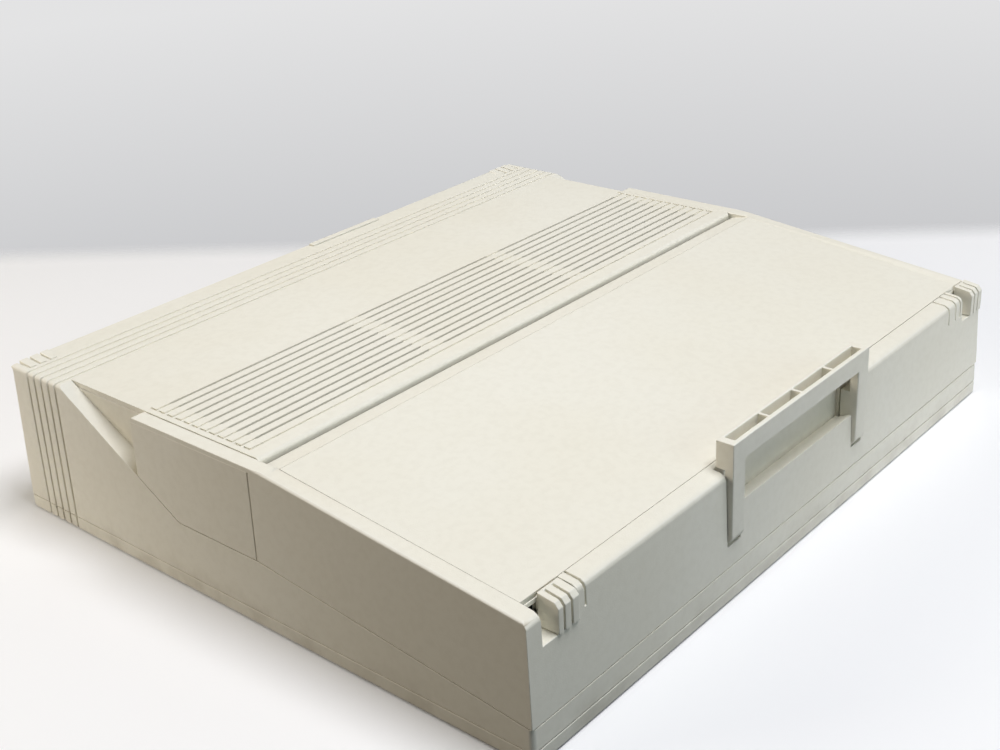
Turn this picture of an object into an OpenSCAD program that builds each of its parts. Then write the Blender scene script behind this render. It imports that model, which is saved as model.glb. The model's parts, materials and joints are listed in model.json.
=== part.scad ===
/* [Body] */
// Width at the parting line
body_w = 405; // [396:1:430]
// Depth at the parting line
body_d = 349; // [346:1:370]
// Height of the flat top above the ground
body_h = 83; // [82.5:0.5:88]
// Height of the parting line above the ground
tray_h = 8; // [7.5:0.5:9]
// Gap between the ground and the tray, filled by the rubber feet
foot_gap = 1; // [0.8:0.1:1.5]
// Wall of the plastic mouldings
wall = 2.6; // [2:0.1:3]
// Lean of the outer walls from the vertical
draft_deg = 2; // [1:0.1:2.5]
// Depth of the shadow line between two mouldings
seam = 0.5; // [0.4:0.1:0.8]
// Gap between pieces that move past each other
play = 0.3; // [0.3:0.05:0.5]
// Radial clearance between a pin and its bore
pin_play = 0.05; // [0.03:0.01:0.1]

/* [Keyboard deck] */
// Slope of the keyboard deck and of the lid that lies on it
wedge_deg = 6.1; // [5.8:0.1:6.3]
// Height of the front edge of the deck above the ground
deck_front_z = 18.4; // [18.2:0.1:19]
// Width of the body on each side of the keyboard well
deck_side = 17.5; // [16:0.5:18]
// Front edge of the keyboard well, measured up the slope
well_front = 25; // [24:0.5:25]
// Rear edge of the keyboard well, measured up the slope
well_back = 147; // [146.5:0.5:150]
// Gap between two neighbouring keys
key_gap = 1; // [0.8:0.1:1.5]
// Height of a key top above the deck
key_top = 8; // [7:0.5:8.5]
// Travel of a key
key_travel = 3.5; // [2.5:0.5:3.5]

/* [Hinge and arms] */
// Width of the lid border and of the hinge arms
border_w = 10.8; // [10:0.2:12]
// Front edge of the hinge arms and their cheek covers
arm_front = 159.4; // [159:0.2:160]
// Distance from the rear to the end of the hinge arms
arm_rear = 104; // [103:0.5:105]
// Slope of the notch behind the hinge arms
notch_deg = 28.6; // [28.2:0.1:29]
// Distance from the rear to where the notch reaches the flat top
notch_rear = 45.5; // [44:0.5:46]
// Distance of the hinge axis from the rear
hinge_rear = 119; // [118:0.5:120]
// Distance of the hinge axis below the flat top
hinge_drop = 9; // [8.5:0.25:9.5]
// Diameter of the hinge pins
hinge_pin_d = 8; // [7:0.5:9]
// Thickness of the cheek covers
cheek_t = 2; // [1.6:0.1:2.4]

/* [Lid] */
// Distance from the flat top down to where the lid's plane meets the front face
lid_drop = 16.3; // [16:0.1:16.5]
// Front seam of the lid's back panel
panel_front = 12.3; // [12:0.1:13]
// Rear seam of the lid's back panel
panel_back = 148; // [147:0.5:149]
// Rear wall of the lid
lid_back = 159.6; // [159.4:0.1:160.4]
// Thickness of the lid's back panel
panel_t = 2.5; // [2:0.1:2.8]
// Width of the screen window
window_w = 200; // [190:1:210]
// Height of the screen window
window_h = 125; // [115:1:126]
// Height of the screen bezel above the deck
bezel_w0 = 14; // [13:0.5:15]

/* [Handle] */
// Width over the handle's arms
handle_w = 124; // [110:1:130]
// Width of one handle arm
handle_arm_w = 10; // [8:0.5:12]
// Depth of the handle
handle_d = 9.4; // [8.6:0.2:9.4]
// How far the handle stands in front of the lid
handle_proud = 1.2; // [1:0.1:1.6]
// Distance from the flat top down to the grip's top
handle_drop = 0.4; // [0.2:0.2:3]
// Height of the grip bar
grip_h = 10.4; // [9:0.2:11]
// Height of the handle's pivot above the ground
handle_pivot_z = 35.8; // [35:0.2:37]
// Diameter of the handle's pivot pins
handle_pin_d = 4; // [3:0.5:5]

/* [Latches] */
// Distance that the latch bar slides to lock
latch_travel = 8.5; // [8:0.25:8.5]
// Width of a latch slider
slider_w = 13; // [12.5:0.25:13.5]
// Distance from the left side to the left slider
slider_left_in = 19.5; // [19:0.25:20]
// Distance from the right side to the far edge of the right slider
slider_right_in = 14.9; // [14.5:0.1:15.5]
// Height of the sliders
slider_h = 13.8; // [13:0.1:16]
// Pitch of the fins on the sliders
fin_pitch = 4.8; // [4.4:0.1:5]

/* [Ribs and louvres] */
// Number of grooves round the rear of the body
groove_n = 5; // [3:1:6]
// Pitch of those grooves
groove_pitch = 6.1; // [5.5:0.1:6.5]
// Distance from the rear to the first of those grooves
groove_rear = 41.8; // [39:0.1:42]
// Width of a groove
groove_w = 1.3; // [1:0.1:1.6]
// Depth of a groove
groove_deep = 1; // [0.6:0.1:1.4]
// Pitch of the louvres in the top cover
louvre_pitch = 6.2; // [5.6:0.1:7]
// Distance from the rear to the first louvre
louvre_rear = 109; // [106:0.5:112]
// Width of a louvre's shallow groove
louvre_w = 1.2; // [1:0.1:1.6]
// Width of the slots in the grooves
slot_across = 1.7; // [1.4:0.1:2.4]
// Distance of the two bridges from the centre
bridge_x = 57.8; // [50:0.5:70]
// Length of a bridge
bridge_l = 10.3; // [4:0.1:16]

/* [Inside] */
// Width of a standard small drive
drive_w = 101.6; // [100:0.1:103]
// Height of a standard small drive
drive_h = 25.4; // [24:0.1:25.4]
// Gap between the drives and the rear panel
drive_rear_gap = 30.4; // [28:0.2:45]
// Gap between the drive cage and the right inner wall
cage_gap = 15.9; // [14:0.1:18]
// Side of the square fan
fan_side = 50; // [48:1:52]
// Diameter of the loudspeaker
speaker_d = 38; // [34:1:40]
// Width of the rear port flap
flap_w = 56; // [50:1:60]
// Left edge of the rear port flap
flap_x = 8.5; // [6:0.5:12]

/* [Hidden] */
$fn = 48;
side = body_w / 2;
lean = tan(draft_deg);
rise = tan(wedge_deg);
fall = tan(notch_deg);
// A length longer than any piece, for cuts that run through
far = 500;
// The part's centre lies this far behind the front face
centre_v = (body_d - handle_proud) / 2;
notch_back = body_d - notch_rear;
arm_back = body_d - arm_rear;
hinge_v = body_d - hinge_rear;
hinge_z = body_h - hinge_drop;
groove_front = body_d - groove_rear;
// Front edge and height of the wedges at the rear corners
wedge_v = body_d - 13;
wedge_up = 0.8;
// Round of the long top edges of the housing
edge_r = 2;
lid_front_z = body_h - lid_drop;
handle_top = body_h - handle_drop;
core_x = side - border_w;
core_in = core_x - wall;
core_front = lid_back + 3.2;
cover_front = lid_back + 2;
floor_top = foot_gap + wall;
cover_z = body_h - wall;
gusset = 1.5;
arm_x = core_x + play;
arm_floor = deck_z(arm_front);
slope_start = notch_back - (body_h - arm_floor) / fall;
// Louvres
louvre_back = body_d - louvre_rear;
louvre_n = floor((louvre_back - cover_front - 9.5) / louvre_pitch) + 1;
louvre_end = core_x - 3.4;
louvre_hook = 4.4;
louvre_deep = 0.8;
slot_end = 9.3;
// Keyboard
well_w = body_w - 2 * deck_side;
key_margin = 2.12;
key_rows = 5;
keys_front = well_front + 2.2;
pad_unit = 15.2;
pad_units = 19.2;
key_pitch = (well_w - 2 * key_margin) / pad_units;
keys_left = -pad_units * key_pitch / 2;
function_gap = 3;
row_pitch = (well_back - keys_front - function_gap - 2.5) / (key_rows + 1);
key_base = -1.2;
stem = 5;
stem_low = -8.2;
socket_side = 13;
socket_top = key_base - key_travel - play;
socket_low = stem_low - key_travel - 1;
plate_t = 1.5;
board_t = 1.6;
// Lid
crease_z = lid_z(panel_back);
valley_z = crease_z - 2.4;
flange_w = 6;
flange_t = 2.6;
bezel_t = 2.4;
bezel_front = 20.5;
glass_t = 2;
module_t = 13;
pocket_back = panel_front;
block_back = 15;
// Handle
grip_front = -handle_proud;
pivot_v = handle_d / 2 - handle_proud;
handle_end_r = handle_d / 2;
slot_back = handle_d - handle_proud + 1;
recess_z = handle_top - 34.1;
handle_in = handle_w / 2 - handle_arm_w;
// Latches
slider_left_x = slider_left_in - side;
latch_seat_x = slider_left_x - latch_travel - play;
fin_gap = 1;
ledge_groove = 1.2;
slider_right_x = side - slider_right_in;
slider_z0 = lid_front_z - slider_h;
slider_back = pocket_back - play - 0.7;
slider_front = -0.8;
bar_t = 2;
bar_front = block_back + play;
stem_w = 6;
stem_in = 3.5;
stem_z0 = slider_z0 + 4;
stem_z1 = stem_z0 + stem_w;
bar_z0 = 40;
bar_z1 = stem_z1;
hook_x = side - 62.5;
bar_rest_x = hook_x - 20;
hook_len = 12;
hook_z0 = 11.4;
hook_t = 3;
shank_w = 4;
deck_slot_v0 = 11.6;
deck_slot_v1 = bar_front + bar_t + 0.8;
// Inside pieces
tilt_t = 3;
foot_lift = 0.3;
// Top of the pockets of the folding feet, on which the drives and the power supply rest
bay_z = foot_gap + tilt_t + 2 * foot_lift + wall / 2;
cage_t = 1.2;
drive_slack = 0.6;
cage_x = core_in - cage_gap - 2 * cage_t - 2 * drive_slack - drive_w;
drive_x = cage_x + cage_t + drive_slack;
drive_front = core_front + wall + 1;
shelf_z = bay_z + cage_t + drive_h + 8.7;
floppy_z = shelf_z + cage_t;
bezel_front_v = lid_back + 1.4;
slot_w = 91;
slot_h = 4.6;
slot_z = floppy_z + 14;
slot_deep = 6;
button_x = drive_x + 82;
button_w = 11;
button_h = 5;
button_z = floppy_z + 4;
button_travel = 3;
disk_in = 90;
rear_panel_v = body_d - 5.8;
floppy_l = rear_panel_v - drive_rear_gap - drive_front;
rear_panel_t = 1.5;
rear_z0 = 10;
rear_z1 = body_h - 17;
rear_x = side - 20.5;
psu_w = 110;
psu_x0 = 5.1 - core_in;
psu_x1 = psu_x0 + psu_w;
psu_front = core_front + 49.2;
psu_h = 57;
fan_x = psu_x0 + 34;
fan_z = rear_z0 + 1 + fan_side / 2;
fan_deep = 15;
fan_bore_r = fan_side / 2 - 2;
hub_r = 9;
inlet_x = psu_x1 - 27;
inlet_z = 24;
inlet_w = 27;
inlet_h = 19;
switch_z = 50;
switch_w = 12;
switch_h = 18;
axle_r = 0.8;
board_z = floor_top + 3.5;
board_x0 = psu_x1 + 4;
board_x1 = cage_x - 6;
board_front = core_front + 6.8;
board_back = rear_panel_v - 3.2;
board_w = board_x1 - board_x0;
riser_x = board_x1 - board_t;
card_x = board_x0 + 16;
card_front = board_front + 35;
card_back = rear_panel_v - 1;
dial_r = 6;
dial_z = cover_z - 22.4;
speaker_x = 39.1 - core_in;
speaker_z = cover_z - 20.4;
dial_x = [speaker_x + 58, speaker_x + 80];
dial_board_v = core_front + wall + 7;
lamp_x = [for (i = [0 : 2]) speaker_x + 106 + 10 * i];
lamp_r = 1.5;
flap_t = 2;
flap_z0 = rear_z1 - 36;
lower_card_z = flap_z0 - 2;
upper_card_z = flap_z0 + 16;
chip_pitch = (card_back - card_front - 35.6) / 3;
flap_pin_r = 1.5;
flap_hinge_r = 2.6;
flap_lip = 0.8;
foot_r = 7;
tilt_w = 40;
tilt_l = 24;
tilt_x = side - 67.5;
tilt_v = body_d - 23;
tilt_pin_r = 1.2;
screw_r = 1.5;
screw_head_r = 2.8;
post_r = 4.5;
screw_places = [
    [side - 9.5, 8.5], [side - 9.5, 150], [side - 9.5, body_d - 11],
    [9.5 - side, 8.5], [9.5 - side, 150], [9.5 - side, body_d - 11]
];
// Colours
cream = [0.89, 0.87, 0.80];
cream_dark = [0.80, 0.78, 0.70];
grey_key = [0.62, 0.60, 0.55];
steel = [0.72, 0.73, 0.75];
board_green = [0.13, 0.35, 0.20];
dark = [0.12, 0.12, 0.13];
screen_dark = [0.20, 0.16, 0.13];

function deck_z(v) = deck_front_z + v * rise;
function lid_z(v) = lid_front_z + v * rise;
function side_at(z, inset) = side - inset - (z - tray_h) * lean;
function front_at(z, inset) = inset + (z - tray_h) * lean;
function back_at(z, inset) = body_d - inset - (z - tray_h) * lean;
function notch_z(v) = body_h - (notch_back - v) * fall;

// Moves a piece from front-edge coordinates to the part's frame
module place() {
    translate([0, -centre_v, 0]) children();
}

// Extrudes a side outline, drawn as distance from the front and height, from x0 to x1
module span(x0, x1) {
    translate([x0, 0, 0]) rotate([90, 0, 90]) linear_extrude(x1 - x0) children();
}

// The space between the two leaning side walls
module between_sides(inset, z0, z1) {
    translate([0, far, 0]) rotate([90, 0, 0]) linear_extrude(2 * far)
        polygon([
            [-side_at(z0, inset), z0], [side_at(z0, inset), z0],
            [side_at(z1, inset), z1], [-side_at(z1, inset), z1]
        ]);
}

// That space with the two upper edges rounded
module between_rounded_sides(inset, z0, top, r) {
    n = 5;
    x = side_at(top, inset);
    arc = [for (i = [0 : n]) [x - r + r * sin(i * 90 / n), top - r + r * cos(i * 90 / n)]];
    translate([0, far, 0]) rotate([90, 0, 0]) linear_extrude(2 * far)
        polygon(concat(
            arc,
            [[side_at(z0, inset), z0], [-side_at(z0, inset), z0]],
            [for (i = [n : -1 : 0]) [-arc[i][0], arc[i][1]]]
        ));
}

// A box from its low and high corners
module block(low, high) {
    translate(low) cube(high - low);
}

// A round bar along X
module bar_x(x0, x1, v, z, r) {
    translate([x0, v, z]) rotate([0, 90, 0]) cylinder(h = x1 - x0, r = r);
}

// A round bar along Y
module bar_y(x, v0, v1, z, r) {
    translate([x, v1, z]) rotate([90, 0, 0]) cylinder(h = v1 - v0, r = r);
}

// Turns a piece drawn flat on the sloping deck into place
module on_deck() {
    translate([0, 0, deck_front_z]) rotate([wedge_deg, 0, 0]) children();
}

// Side outline of the body below the lid
module body_outline(inset, low) {
    up = inset;
    polygon([
        [front_at(low, inset), low],
        [front_at(deck_front_z, inset), deck_z(front_at(deck_front_z, inset)) - up],
        [arm_front, arm_floor - up],
        [slope_start + up * tan(notch_deg / 2), arm_floor - up],
        [notch_back + up * tan(notch_deg / 2), body_h - up],
        [back_at(body_h, inset), body_h - up],
        [back_at(low, inset), low]
    ]);
}

// One thin slab for each groove, all round the rear of the body
module groove_slabs(z0, z1) {
    for (i = [0 : groove_n - 1])
        block([-far, groove_front + i * groove_pitch - groove_w / 2, z0],
              [far, groove_front + i * groove_pitch + groove_w / 2, z1]);
}

// Everything that lies deeper than a groove
module groove_core(low) {
    intersection() {
        between_rounded_sides(groove_deep, low, body_h - groove_deep, edge_r - groove_deep);
        block([-far, 0, low], [far, far, body_h - groove_deep]);
    }
}

// The cuts of the grooves, for the housing and the tray
module grooves(low, high) {
    difference() {
        groove_slabs(low, high);
        groove_core(0);
    }
}

// The posts that take the case screws
module screw_posts(z0, z1, r) {
    for (p = screw_places)
        translate([p[0], p[1], z0]) cylinder(h = z1 - z0, r = r);
}

// Pocket under the tray for one folded foot, grown by a margin
module tilt_space(s, grow, up) {
    block([s * tilt_x - tilt_w / 2 - grow, tilt_v - tilt_l - grow, foot_gap - 1],
          [s * tilt_x + tilt_w / 2 + grow, tilt_v + tilt_t + grow, foot_gap + tilt_t + 2 * foot_lift + up]);
}

// Bottom tray with its floor, low wall, bosses and foot pockets
module base_tray() {
    color(cream_dark) place() difference() {
        union() {
            difference() {
                block([-side, 0, foot_gap], [side, body_d, tray_h - seam]);
                block([wall - side, wall, floor_top], [side - wall, body_d - wall, tray_h]);
            }
            // Inner rim that the housing stands on
            difference() {
                block([groove_deep + 0.4 - side, groove_deep + 0.4, floor_top],
                      [side - groove_deep - 0.4, body_d - groove_deep - 0.4, tray_h]);
                block([wall - side, wall, foot_gap], [side - wall, body_d - wall, tray_h + 1]);
            }
            screw_posts(floor_top - 0.5, tray_h, post_r);
            for (s = [-1, 1]) tilt_space(s, wall, wall / 2);
            // Ribs under the front of the power supply and of the drive cage
            block([psu_x0 + 6, psu_front + 2, floor_top - 0.5], [psu_x1 - 6, psu_front + 5, bay_z]);
            block([cage_x + 6, drive_front + 6, floor_top - 0.5], [cage_x + drive_w - 6, drive_front + 9, bay_z]);
            // Stand-offs under the main board
            for (x = [board_x0 + 8, board_x1 - 8])
                for (v = [board_front + 12, board_back - 20])
                    translate([x, v, floor_top - 0.5]) cylinder(h = board_z - floor_top + 0.5, r = 3);
        }
        block([-far, -far, -far], [far, far, foot_gap]);
        for (s = [-1, 1]) tilt_space(s, play, 0);
        screw_posts(0, far, screw_r + pin_play);
        screw_posts(0, foot_gap + 1.6, screw_head_r + play);
        grooves(0, tray_h);
        // Air slots in the floor under the power supply
        for (i = [0 : 7])
            block([psu_x0 + 14, psu_front + 16 + i * 7, 0], [psu_x1 - 14, psu_front + 19 + i * 7, floor_top + 1]);
        for (s = [-1, 1])
            bar_x(s * tilt_x - tilt_w / 2 - 2.4, s * tilt_x + tilt_w / 2 + 2.4,
                  tilt_v, foot_gap + foot_lift + tilt_t / 2, tilt_pin_r + pin_play);
    }
}

// Main moulding: deck rim, side walls, notches, rear wall and grooved rear band
module main_housing() {
    color(cream) place() difference() {
        union() {
            difference() {
                intersection() {
                    span(-side, side) body_outline(0, tray_h);
                    between_rounded_sides(0, tray_h, body_h, edge_r);
                }
                intersection() {
                    span(-side, side) body_outline(wall, tray_h - 1);
                    between_sides(wall, tray_h - 1, body_h);
                }
            }
            // Walls between the hinge arms and the inside
            for (s = [-1, 1])
                block([min(s * core_in, s * core_x), core_front, deck_z(core_front) - wall],
                      [max(s * core_in, s * core_x), notch_back + 6, cover_z + 1]);
            // Gussets that tie those walls to the roof
            for (s = [-1, 1])
                block([s * core_x - gusset, notch_back - gusset, cover_z - 2 * gusset],
                      [s * core_x + gusset, notch_back + 6, cover_z + 0.5]);
            // Screw posts under the deck rim and in the rear corners
            intersection() {
                screw_posts(tray_h, body_h - 1, post_r);
                span(-side, side) body_outline(wall / 2, tray_h);
            }
            // Backing behind the port flap
            block([flap_x - 4, rear_panel_v - 2, rear_z1 - 2],
                  [flap_x + flap_w + 4, back_at(body_h, 0) - 1, cover_z + 1]);
            // Ledge under the rear edge of the top cover
            block([-core_in, notch_back + 1, cover_z - 3], [core_in, notch_back + 6, cover_z]);
            rear_wedges();
        }
        wedge_grooves();
        // Keyboard well
        on_deck() block([-well_w / 2, well_front, -2 * wall], [well_w / 2, well_back, wall]);
        // Open inside under the top cover
        block([-core_in, core_front, tray_h - 1], [core_in, notch_back + 1, far]);
        block([-core_x, core_front, cover_z], [core_x, notch_back + 1.6, far]);
        // Slots for the latch hooks
        for (s = [-1, 1])
            block([s * hook_x - hook_len + 1, deck_slot_v0, tray_h],
                  [s * hook_x + shank_w / 2 + 1, deck_slot_v1, deck_z(deck_slot_v1) + 1]);
        // Rear opening for the port panel
        block([-rear_x, rear_panel_v, rear_z0], [rear_x, far, rear_z1]);
        // Seat of the port flap and its hinge
        flap_shape(play);
        bar_x(flap_x - 3, flap_x + flap_w + 3, flap_axis_v(), flap_z0, flap_pin_r + pin_play);
        grooves(tray_h, far);
        // Bores for the hinge pins and the case screws
        for (s = [-1, 1])
            bar_x(s > 0 ? core_in - 5 : -core_x - 1, s > 0 ? core_x + 1 : 5 - core_in,
                  hinge_v, hinge_z, hinge_pin_d / 2 + pin_play);
        screw_posts(0, 16, screw_r + pin_play);
    }
}

// Three low wedges at each rear corner, which rise to the rear behind hooked grooves
module rear_wedges() {
    for (s = [-1, 1])
        for (i = [0 : 2]) {
            x = s * (side - 8 - i * groove_pitch);
            span(min(x, x - s * (groove_pitch - 1.2)), max(x, x - s * (groove_pitch - 1.2)))
                polygon([
                    [wedge_v, body_h - 1], [wedge_v, body_h],
                    [back_at(body_h, 0), body_h + wedge_up], [back_at(body_h, 0), body_h - 1]
                ]);
        }
}

// The hooked grooves in front and beside those wedges
module wedge_grooves() {
    for (s = [-1, 1])
        for (i = [0 : 2]) {
            x = s * (side - 8 - i * groove_pitch);
            block([min(x, x + s * 1.2), wedge_v - 1.1, body_h - 0.9], [max(x, x + s * 1.2), far, far]);
            block([min(x + s * 1.2, x - s * 3.2), wedge_v - 1.1, body_h - 0.9], [max(x + s * 1.2, x - s * 3.2), wedge_v, far]);
        }
}

// Louvred top cover over the inside, with a rounded front lip
module top_cover() {
    lip_r = 2.2;
    color(cream) place() difference() {
        union() {
            block([play - core_x, cover_front + lip_r, cover_z], [core_x - play, notch_back + 1.3, body_h]);
            bar_x(play - core_x, core_x - play, cover_front + lip_r, body_h - lip_r, lip_r);
            block([play - core_x, cover_front, cover_z - 3], [core_x - play, core_front, body_h - lip_r]);
            block([play - core_x, cover_front, cover_z], [core_x - play, cover_front + 2 * lip_r, body_h - lip_r]);
        }
        for (i = [0 : louvre_n - 1]) louvre(i);
        // Behind the lip the underside is level and rests on the front panel
        block([-far, core_front, 0], [far, far, cover_z]);
    }
}

// One louvre: a shallow groove hooked to the rear at both ends, with slots between the bridges
module louvre(i) {
    v = louvre_back - i * louvre_pitch;
    for (s = [-1, 1])
        block([min(s * louvre_end, s * (louvre_end - louvre_w)), v - louvre_w / 2, body_h - louvre_deep],
              [max(s * louvre_end, s * (louvre_end - louvre_w)), v + louvre_hook, far]);
    block([-louvre_end, v - louvre_w / 2, body_h - louvre_deep], [louvre_end, v + louvre_w / 2, far]);
    // The front louvre is a groove only
    if (i < louvre_n - 1)
        for (x = [[slot_end - louvre_end, -bridge_x - bridge_l / 2],
                  [bridge_l / 2 - bridge_x, bridge_x - bridge_l / 2],
                  [bridge_x + bridge_l / 2, louvre_end - slot_end]])
            block([x[0], v - slot_across / 2, 0], [x[1], v + slot_across / 2, far]);
}

// Upright panel behind the keyboard, seen when the lid is open
module front_panel() {
    low = deck_z(core_front) + 0.2;
    color(cream_dark) place() difference() {
        union() {
            block([play - core_in, core_front, low], [core_in - play, core_front + wall, cover_z]);
            block([play - core_in, core_front, low], [core_in - play, core_front + 8, low + wall]);
        }
        // Window for the diskette drive
        block([drive_x - 1, 0, floppy_z - 0.8], [drive_x + drive_w + 1, far, floppy_z + drive_h + 0.8]);
        block([cage_x - 1, core_front + wall, 0], [cage_x + drive_w + 6, far, far]);
        // Loudspeaker slots
        for (i = [-3 : 3])
            block([speaker_x - 15 + abs(i) * 1.6, 0, speaker_z + i * 4.4 - 1],
                  [speaker_x + 15 - abs(i) * 1.6, far, speaker_z + i * 4.4 + 1]);
        for (x = dial_x) bar_y(x, 0, far, dial_z, 2.3);
        for (x = lamp_x) bar_y(x, 0, far, dial_z, lamp_r + pin_play);
    }
}

// One key cap with sloping sides, standing on the deck plane
module key_cap(x0, u0, units, rows) {
    w = units * key_pitch - key_gap;
    d = rows * row_pitch - key_gap;
    cap_h = key_top - key_base;
    taper_x = 2.2;
    taper_u = 2.2;
    translate([x0 + key_gap / 2, u0 + key_gap / 2, key_base]) {
        intersection() {
            translate([0, d, 0]) rotate([90, 0, 0]) linear_extrude(d)
                polygon([[0, 0], [w, 0], [w - taper_x, cap_h], [taper_x, cap_h]]);
            rotate([90, 0, 90]) linear_extrude(w)
                polygon([[0, 0], [d, 0], [d - taper_u, cap_h], [taper_u / 2, cap_h - 0.8]]);
        }
        translate([w / 2 - stem / 2, d / 2 - stem / 2, stem_low - key_base])
            cube([stem, stem, key_base - stem_low + 0.1]);
    }
}

// Where a key stands: column in key pitches and row from the front
function key_x(col) = keys_left + col * key_pitch;
function key_u(row) = keys_front + row * row_pitch + (row >= key_rows ? function_gap : 0);

// Each entry of a row is [column, width in key pitches, depth in rows]
function run(from, count) = [for (i = [0 : count - 1]) [from + i, 1, 1]];
row_bottom = [[0, 1.5, 1], [1.5, 1, 1], [2.5, 1.5, 1], [9.5, 1.5, 1], [11, 1, 1], [12, 1, 1], [13, 1, 1], [14, 1, 1]];
row_space = [[4, 5.5, 1]];
row_lower = concat([[0, 2.25, 1]], run(2.25, 10), [[12.25, 1.75, 1], [14, 1, 1]]);
row_home = concat([[0, 1.75, 1]], run(1.75, 11), [[12.75, 2.25, 1]]);
row_upper = concat([[0, 1.5, 1]], run(1.5, 12), [[13.5, 1.5, 1]]);
row_number = concat(run(0, 13), [[13, 2, 1]]);
row_function = concat(run(0, 1), run(2, 4), run(6.5, 4), run(11, 4), run(pad_unit, 4));
pad_rows = [
    [[pad_unit, 2, 1], [pad_unit + 2, 1, 1], [pad_unit + 3, 1, 2]],
    run(pad_unit, 3),
    [[pad_unit, 1, 1], [pad_unit + 1, 1, 1], [pad_unit + 2, 1, 1], [pad_unit + 3, 1, 2]],
    run(pad_unit, 3),
    run(pad_unit, 4)
];

// All caps of one row
module key_row(keys, row) {
    place() on_deck()
        for (k = keys)
            key_cap(key_x(k[0]), key_u(row), k[1], k[2]);
}

module keys_function() {
    color(grey_key) key_row(row_function, 5);
}

module keys_number() {
    color(cream) key_row(row_number, 4);
}

module keys_upper() {
    color(cream) key_row(row_upper, 3);
}

module keys_home() {
    color(cream) key_row(row_home, 2);
}

module keys_lower() {
    color(cream) key_row(row_lower, 1);
}

module keys_bottom() {
    color(grey_key) key_row(row_bottom, 0);
}

module space_bar() {
    color(cream) key_row(row_space, 0);
}

module keys_pad() {
    color(cream)
        for (r = [0 : 4])
            key_row(pad_rows[r], r);
}

// One switch under each key of a row
module key_sockets(keys, row) {
    for (k = keys) {
        x = key_x(k[0]) + k[1] * key_pitch / 2;
        u = key_u(row) + k[2] * row_pitch / 2;
        difference() {
            block([x - socket_side / 2, u - socket_side / 2, socket_low],
                  [x + socket_side / 2, u + socket_side / 2, socket_top]);
            block([x - stem / 2 - play, u - stem / 2 - play, socket_low + 0.6],
                  [x + stem / 2 + play, u + stem / 2 + play, 0]);
        }
    }
}

// Steel plate with the key switches
module keyboard_plate() {
    color(steel) place() on_deck() {
        block([-well_w / 2 + play, well_front + play, socket_low - plate_t],
              [well_w / 2 - play, well_back - play, socket_low]);
        key_sockets(row_bottom, 0);
        key_sockets(row_space, 0);
        key_sockets(row_lower, 1);
        key_sockets(row_home, 2);
        key_sockets(row_upper, 3);
        key_sockets(row_number, 4);
        key_sockets(row_function, 5);
        for (r = [0 : 4]) key_sockets(pad_rows[r], r);
        // Rim that hangs the plate from the deck
        for (u = [well_front + play, well_back - play - plate_t])
            block([-well_w / 2 + play, u, socket_low - plate_t], [well_w / 2 - play, u + plate_t, -wall / 2]);
    }
}

// Circuit board under the key switches
module keyboard_board() {
    color(board_green) place() on_deck()
        block([-well_w / 2 + 4, well_front + 3, socket_low - plate_t - board_t],
              [well_w / 2 - 4, well_back - 3, socket_low - plate_t]);
}

// A flat chip on a board
module chip(x, v, z, w, d, h) {
    block([x, v, z], [x + w, v + d, z + h]);
}

// Main circuit board on its stand-offs
module motherboard() {
    color(board_green) place() {
        block([board_x0, board_front, board_z], [board_x1, board_back, board_z + board_t]);
        chip(board_x0 + 14, board_front + 14, board_z + board_t, 34, 34, 3);
        chip(board_x0 + 60, board_front + 14, board_z + board_t, 30, 12, 3.5);
        for (i = [0 : 5])
            chip(board_x0 + 12 + i * (board_w - 24) / 6, board_back - 60, board_z + board_t, 9, 24, 3.5);
        for (i = [0 : 3])
            chip(board_x0 + 12 + i * (board_w - 24) / 4, board_back - 100, board_z + board_t, 17, 20, 3);
    }
}

// Upright board that carries the two expansion cards
module riser_board() {
    color(board_green) place()
        block([riser_x, card_front, board_z + board_t], [riser_x + board_t, card_back - 6, upper_card_z + 6]);
}

// An expansion card with a few chips and its metal end plate
module expansion_card(z) {
    color(board_green) place() {
        block([card_x, card_front, z], [riser_x, card_back - 3, z + board_t]);
        for (i = [0 : 4])
            for (j = [0 : 2])
                chip(card_x + 8 + i * (riser_x - card_x - 10) / 5, card_front + 14 + j * chip_pitch, z + board_t,
                     10, 0.7 * chip_pitch, 3.5);
        // End plate with a tab on the board
        block([card_x + 14, card_back - 12, z + board_t], [flap_x - 1, rear_panel_v, z + board_t + 1]);
        block([card_x + 14, rear_panel_v - 1, z], [flap_x - 1, rear_panel_v, z + 14]);
    }
}

module lower_card() {
    expansion_card(lower_card_z);
}

module upper_card() {
    expansion_card(upper_card_z);
}

// Closed sheet-metal box of the power supply
module power_supply() {
    color(steel) place() difference() {
        block([psu_x0, psu_front, bay_z], [psu_x1, rear_panel_v, bay_z + psu_h]);
        block([psu_x0 + 1, psu_front + 1, bay_z + 1],
              [psu_x1 - 1, rear_panel_v - 1, bay_z + psu_h - 1]);
        // Room for the fan, the inlet and the switch
        block([fan_x - fan_side / 2 - play, rear_panel_v - fan_deep - play, fan_z - fan_side / 2 - play],
              [fan_x + fan_side / 2 + play, far, fan_z + fan_side / 2 + play]);
        block([inlet_x - inlet_w / 2 - 1, rear_panel_v - 3, inlet_z - inlet_h / 2 - 1],
              [inlet_x + inlet_w / 2 + 1, far, inlet_z + inlet_h / 2 + 1]);
        block([inlet_x - switch_w / 2 - 2, rear_panel_v - 3, switch_z - switch_h / 2 - 2],
              [inlet_x + switch_w / 2 + 2, far, bay_z + psu_h - 1]);
        for (i = [0 : 9])
            block([psu_x0 + 15 + i * 8, psu_front - 1, bay_z + 12],
                  [psu_x0 + 18 + i * 8, psu_front + 2, bay_z + psu_h - 12]);
    }
}

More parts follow.
